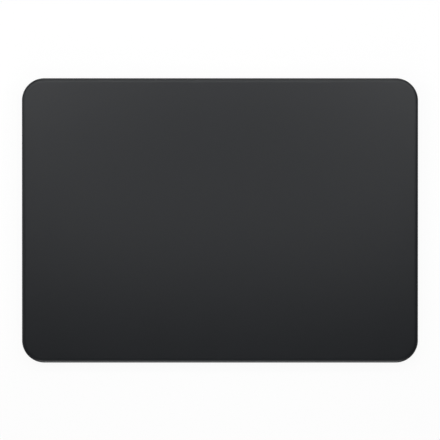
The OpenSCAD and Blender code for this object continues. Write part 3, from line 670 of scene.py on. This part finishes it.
# an object from points and faces, with its normals outwards
def addPiece(name, points, faces, looks):
    mesh = bpy.data.meshes.new(name)
    mesh.from_pydata(points, [], faces)
    shell = bmesh.new()
    shell.from_mesh(mesh)
    bmesh.ops.recalc_face_normals(shell, faces=shell.faces)
    shell.to_mesh(mesh)
    shell.free()
    for look in looks:
        mesh.materials.append(look)
    piece = bpy.data.objects.new(name, mesh)
    bpy.context.scene.collection.objects.link(piece)
    return piece


def smoothBelow(piece, degrees):
    piece.data.shade_smooth()
    piece.data.set_sharp_from_angle(angle=math.radians(degrees))


# faces between two loops of a row; the row begins at point number start, and a loop has count points
def joinLoops(faces, start, count, first, last):
    a = start + first * count
    b = start + last * count
    for k in range(count):
        after = (k + 1) % count
        faces.append((a + k, a + after, b + after, b + k))


# points of a round-cornered rectangle about the middle
def roundedLoop(halfWidth, halfHeight, radius, steps):
    loop = []
    for quarter in range(4):
        signX = 1 if quarter in (0, 3) else -1
        signY = 1 if quarter in (0, 1) else -1
        for step in range(steps + 1):
            angle = math.radians(90 * (quarter + step / steps))
            x = signX * (halfWidth - radius) + radius * math.cos(angle)
            y = signY * (halfHeight - radius) + radius * math.sin(angle)
            loop.append((x, y))
    return loop


# the touch plate's own axes: to the right, up the slope to the rear, and square to its face
plateAxes = (Vector((1, 0, 0)), plateUp.cross(Vector((1, 0, 0))), plateUp)


# lowest and highest reach of a solid along those axes
def plateSpans(node):
    spans = []
    for axis in plateAxes:
        reach = [vertex.co.dot(axis) for vertex in nodes[node].data.vertices]
        spans.append((min(reach), max(reach)))
    return spans


# the touch face is flat and falls softly to its edge, where a narrow band is polished
glassBuild = {
    "corner": 8.75 * mm,
    "cornerSteps": 20,
    "flat": 0.5 * mm,  # a ring of the flat face, which keeps its shading even
    "fall": 1.6 * mm,  # width of the fall
    "fallDepth": 0.50 * mm,
    "fallSteps": 20,
    "polishFrom": 0.12 * mm,  # in from the side
    "polishTo": 0.30 * mm,
    "under": 0.15 * mm,  # rounding of the lower edge
    "underSteps": 4,
    "smoothBelow": 30,  # degrees between faces
}


# each ring's distance in from the side and down from the face,
# and whether the strip that ends at it is polished
def glassRings(thickness, build):
    rings = [(build["fall"] + build["flat"], 0, False)]
    for step in range(build["fallSteps"] + 1):
        angle = math.radians(90 * step / build["fallSteps"])
        inset = build["fall"] * (1 - math.sin(angle))
        polished = build["polishFrom"] < inset < build["polishTo"]
        rings.append((inset, build["fallDepth"] * (1 - math.cos(angle)), polished))
    for step in range(build["underSteps"] + 1):
        angle = math.radians(90 * step / build["underSteps"])
        drop = thickness - build["under"] * (1 - math.sin(angle))
        rings.append((build["under"] * (1 - math.cos(angle)), drop, False))
    return rings


def layGlass(build):
    right, rear, up = plateAxes
    spanX, spanY, spanZ = plateSpans("touch_glass")
    halfX = (spanX[1] - spanX[0]) / 2
    halfY = (spanY[1] - spanY[0]) / 2
    middle = right * (sum(spanX) / 2) + rear * (sum(spanY) / 2) + up * spanZ[1]
    rings = glassRings(spanZ[1] - spanZ[0], build)
    count = 4 * (build["cornerSteps"] + 1)
    points, faces, shiny = [], [], []
    for ring, (inset, drop, polished) in enumerate(rings):
        corner = build["corner"] - inset
        for x, y in roundedLoop(halfX - inset, halfY - inset, corner, build["cornerSteps"]):
            points.append(middle + right * x + rear * y - up * drop)
        if ring > 0:
            joinLoops(faces, 0, count, ring - 1, ring)
            shiny += [int(polished)] * count
    faces.append(tuple(range(count)))
    faces.append(tuple(range(len(points) - count, len(points))))
    shiny += [0, 0]
    glass = addPiece("rolledGlass", points, faces, [finishes["touch_glass"], polishedGlass(glassLook)])
    glass.data.polygons.foreach_set("material_index", shiny)
    smoothBelow(glass, build["smoothBelow"])
    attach(glass, "touch_plate")
    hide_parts("touch_glass")


layGlass(glassBuild)
print("glass laid")


# the gel bulges at half height, where nothing holds it
gelBuild = {"sides": 48, "rows": 10, "bulge": 0.22 * mm, "smoothBelow": 50}


def bulgeGelPad(node, build):
    across, along, up = plateAxes
    spans = plateSpans(node)
    middle = across * (sum(spans[0]) / 2) + along * (sum(spans[1]) / 2)
    radius = (spans[0][1] - spans[0][0]) / 2
    low, high = spans[2]
    sides, rows = build["sides"], build["rows"]
    points, faces = [], []
    for row in range(rows + 1):
        level = row / rows
        wide = radius - build["bulge"] * (2 * level - 1) ** 2
        height = low + (high - low) * level
        for k in range(sides):
            angle = 2 * math.pi * k / sides
            outward = across * math.cos(angle) + along * math.sin(angle)
            points.append(middle + outward * wide + up * height)
        if row > 0:
            joinLoops(faces, 0, sides, row - 1, row)
    faces.append(tuple(range(sides)))
    faces.append(tuple(range(rows * sides, (rows + 1) * sides)))
    pad = addPiece("bulged_" + node, points, faces, [finishes["gel"]])
    smoothBelow(pad, build["smoothBelow"])
    # the middles of its lower and upper faces, which nothing uses
    middle + up * low
    middle + up * high
    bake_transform(pad)
    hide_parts(node)


for node in nodes:
    if slotOf[node] == "gel":
        bulgeGelPad(node, gelBuild)
print("gel pads bulged")


coilBuild = {
    "wire": 0.2 * mm,
    "wall": 0.33 * mm,  # build-up of the winding
    "corner": 0.4 * mm,
    "leastCorner": 0.05 * mm,
    "cornerSteps": 3,
    "across": (0.0, 0.2, 0.5, 0.8),  # places across one turn of the wire
    "smoothBelow": 60,
}


# lowest and highest corner of the winding in one quarter of the engine
def coilBox(sideX, sideY):
    low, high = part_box("haptic_coils")
    middle = (low + high) / 2
    own = []
    for vertex in nodes["haptic_coils"].data.vertices:
        off = vertex.co - middle
        if off.x * sideX > 0 and off.y * sideY > 0:
            own.append(vertex.co)
    start = Vector([min(point[axis] for point in own) for axis in range(3)])
    end = Vector([max(point[axis] for point in own) for axis in range(3)])
    return start, end


# places along x, each with its drop below the crown of the wire
def coilRings(start, end, build):
    turns = round((end.x - start.x) / build["wire"])
    pitch = (end.x - start.x) / turns
    rings = []
    for turn in range(turns):
        for share in build["across"]:
            drop = pitch / 2 * (1 - math.sqrt(1 - (2 * share - 1) ** 2))
            rings.append((start.x + (turn + share) * pitch, drop))
    return rings + [(end.x, pitch / 2), (end.x, build["wall"]), (start.x, build["wall"])]


# turns of wire round each of the four poles, which run along x
def windCoils(build):
    points, faces = [], []
    steps = build["cornerSteps"]
    count = 4 * (steps + 1)
    for sideX, sideY in ((-1, -1), (1, -1), (-1, 1), (1, 1)):
        start, end = coilBox(sideX, sideY)
        half = (end - start) / 2
        middle = (end + start) / 2
        first = len(points)
        rings = coilRings(start, end, build)
        for ring, (x, drop) in enumerate(rings):
            corner = max(build["corner"] - drop, build["leastCorner"])
            for y, z in roundedLoop(half.y - drop, half.z - drop, corner, steps):
                points.append((x, middle.y + y, middle.z + z))
            joinLoops(faces, first, count, ring, (ring + 1) % len(rings))
    coils = addPiece("coilTurns", points, faces, [finishes["copper_wire"]])
    smoothBelow(coils, build["smoothBelow"])
    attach(coils, "base")
    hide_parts("haptic_coils")
    print("coils wound:", len(faces), "faces")


windCoils(coilBuild)


smallParts = {
    "gapToChip": 0.75 * mm,
    "pitch": 1.45 * mm,
    "rowHalf": 4,  # parts on either side of the middle of a row
    "rowKinds": 2,  # the largest kind doesn't stand in rows
    "clear": 0.35 * mm,  # round a part and above it
    "probes": (-1, -0.5, 0, 0.5, 1),  # across a part and its clear edge, where the room is tried
    "lift": 0.02 * mm,  # of a probe over the board
    "proud": 0.02 * mm,  # of the metal ends over the body
    "soften": 0.05 * mm,
    "kinds": (
        {"length": 1.0 * mm, "width": 0.5 * mm, "height": 0.5 * mm, "endShare": 0.25},
        {"length": 1.0 * mm, "width": 0.5 * mm, "height": 0.35 * mm, "endShare": 0.22},
        {"length": 1.6 * mm, "width": 0.8 * mm, "height": 0.7 * mm, "endShare": 0.24},
    ),
    "boards": {
        "logic_board": ("main_controller", "power_controller", "haptic_driver", "radio_shield_can"),
        "port_board": ("switch_body", "charge_port_shell"),
    },
    "strayTries": 200,  # on each board, away from the chips
    "turnedShare": 0.5,
    "seed": 5,
}
boxFaces = ((0, 1, 2, 3), (4, 5, 6, 7), (0, 1, 5, 4), (1, 2, 6, 5), (2, 3, 7, 6), (3, 0, 4, 7))


# every solid of the frame in one tree for ray casts
def solidTree():
    corners, surfaces = [], []
    for solid in nodes.values():
        start = len(corners)
        corners += [vertex.co.copy() for vertex in solid.data.vertices]
        surfaces += [tuple(start + i for i in face.vertices) for face in solid.data.polygons]
    return BVHTree.FromPolygons(corners, surfaces)


# true where a part has bare board under it and nothing beside it or above it
def isFree(tree, taken, board, spot, half, height, build):
    low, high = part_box(board)
    clear, lift = build["clear"], build["lift"]
    reach = half + Vector((clear, clear))
    for axis in (0, 1):
        if not low[axis] + reach[axis] < spot[axis] < high[axis] - reach[axis]:
            return False
    for other, otherHalf in taken:
        if all(abs(spot[axis] - other[axis]) < reach[axis] + otherHalf[axis] for axis in (0, 1)):
            return False
    for shareX in build["probes"]:
        for shareY in build["probes"]:
            foot = Vector((spot.x + shareX * reach.x, spot.y + shareY * reach.y, high.z + lift))
            if tree.ray_cast(foot, Vector((0, 0, 1)), height + clear)[0]:
                return False
            if not tree.ray_cast(foot, Vector((0, 0, -1)), 2 * lift)[0]:
                return False
    return True


# a body between two metal ends, as three blocks along the part
def addSmallPart(points, faces, ends, spot, top, turned, kind, proud):
    halfLength = kind["length"] / 2
    body = halfLength - kind["length"] * kind["endShare"]
    for near, far, swell in ((-halfLength, -body, proud), (-body, body, 0), (body, halfLength, proud)):
        first = len(points)
        halfWidth = kind["width"] / 2 + swell
        for along in (near, far):
            for across, up in ((-1, 0), (1, 0), (1, 1), (-1, 1)):
                side = across * halfWidth
                offX, offY = (side, along) if turned else (along, side)
                points.append((spot.x + offX, spot.y + offY, top + up * (kind["height"] + swell)))
        for corners in boxFaces:
            faces.append(tuple(first + i for i in corners))
            ends.append(1 if swell else 0)


# places in rows round the chips of a board, then at random
def partPlaces(board, chips, build, chance):
    for chip in chips:
        low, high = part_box(chip)
        middle = (low + high) / 2
        reach = (high - low) / 2 + Vector((build["gapToChip"], build["gapToChip"], 0))
        for kind in build["kinds"][:build["rowKinds"]]:
            for side in (-1, 1):
                for k in range(-build["rowHalf"], build["rowHalf"] + 1):
                    step = k * build["pitch"]
                    yield Vector((middle.x + step, middle.y + side * reach.y)), True, kind
                    yield Vector((middle.x + side * reach.x, middle.y + step)), False, kind
    low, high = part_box(board)
    for attempt in range(build["strayTries"]):
        x = low.x + (high.x - low.x) * chance.random()
        y = low.y + (high.y - low.y) * chance.random()
        yield Vector((x, y)), chance.random() < build["turnedShare"], chance.choice(build["kinds"])


# capacitors and resistors, wherever the board and the room above it are free
def fitSmallParts(build):
    tree = solidTree()
    chance = random.Random(build["seed"])
    points, faces, ends, taken = [], [], [], []
    for board, chips in build["boards"].items():
        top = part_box(board)[1].z
        for spot, turned, kind in partPlaces(board, chips, build, chance):
            half = Vector((kind["length"], kind["width"])) / 2
            if turned:
                half = half.yx
            if isFree(tree, taken, board, spot, half, kind["height"], build):
                taken.append((spot, half))
                addSmallPart(points, faces, ends, spot, top, turned, kind, build["proud"])
    piece = addPiece("boardSmallParts", points, faces, [grainFinish("firedCeramic"), finishes["steel"]])
    piece.data.polygons.foreach_set("material_index", ends)
    soften = piece.modifiers.new("soften", "BEVEL")
    soften.width = build["soften"]
    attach(piece, "base")
    print("small parts:", len(taken))


fitSmallParts(smallParts)


# mostly its own white, the rest lit, so that it keeps a faint shadow
floorLook = {"side": 6.0, "white": rgb(0.92, 0.92, 0.92), "ownWhite": 0.93}  # side in metres


def layFloor(look):
    half = look["side"] / 2
    corners = [(-half, -half, 0), (half, -half, 0), (half, half, 0), (-half, half, 0)]
    finish, start = bareFinish("floorWhite")
    rays = start.node("LightPath").outputs("Is Camera Ray", "Is Glossy Ray", "Is Transmission Ray")
    seen = rays[0].atLeast(rays[1]).atLeast(rays[2])
    lit = start.node("BsdfDiffuse", {}, {"Color": look["white"]})
    own = start.node("Emission", {}, {"Color": rgb(1, 1, 1), "Strength": 1.0})
    mixed = start.node("MixShader", {}, {0: seen * look["ownWhite"], 1: lit, 2: own})
    start.node("OutputMaterial", {}, {"Surface": mixed})
    addPiece("floor", corners, [(0, 1, 2, 3)], [finish])


layFloor(floorLook)
print("floor laid")


# metres; a lamp of radiance 1 shows as white in a mirror
worldGrey = 0.165
lamps = {
    "overFront": {"at": (0.0, -0.014, 0.16), "size": (0.22, 0.05), "radiance": 1.88, "facing": "down"},
    "overLeft": {"at": (-0.11, 0.046, 0.16), "size": (0.10, 0.05), "radiance": 2.4, "facing": "down"},
    "overRight": {"at": (0.11, 0.046, 0.16), "size": (0.10, 0.05), "radiance": 2.5, "facing": "down"},
    "overRear": {"at": (0.0, 0.09, 0.16), "size": (0.32, 0.05), "radiance": 4.7, "facing": "down"},
    "rear": {"at": (0.0, 0.70, 0.30), "size": (0.60, 0.30), "radiance": 1.6, "facing": "pad"},
    "left": {"at": (-0.28, 0.02, 0.21), "size": (0.20, 0.20), "radiance": 0.6, "facing": "pad"},
    "front": {"at": (0.0, -0.50, 0.28), "size": (0.36, 0.34), "radiance": 2.7, "facing": "pad"},
}


def hangLamp(name, lamp):
    light = bpy.data.lights.new(name, "AREA")
    light.shape = "RECTANGLE"
    light.size, light.size_y = lamp["size"]
    light.energy = lamp["radiance"] * math.pi * light.size * light.size_y
    hung = bpy.data.objects.new(name, light)
    hung.location = lamp["at"]
    if lamp["facing"] == "pad":
        hung.rotation_euler = (-hung.location).to_track_quat("-Z", "Y").to_euler()
    hung.visible_camera = False
    bpy.context.scene.collection.objects.link(hung)


world = bpy.data.worlds.new("studio")
world.use_nodes = True
world.node_tree.nodes["Background"].inputs["Color"].default_value = rgb(worldGrey, worldGrey, worldGrey)
bpy.context.scene.world = world
for name, lamp in lamps.items():
    hangLamp(name, lamp)
print("studio lit by", len(lamps), "lamps")
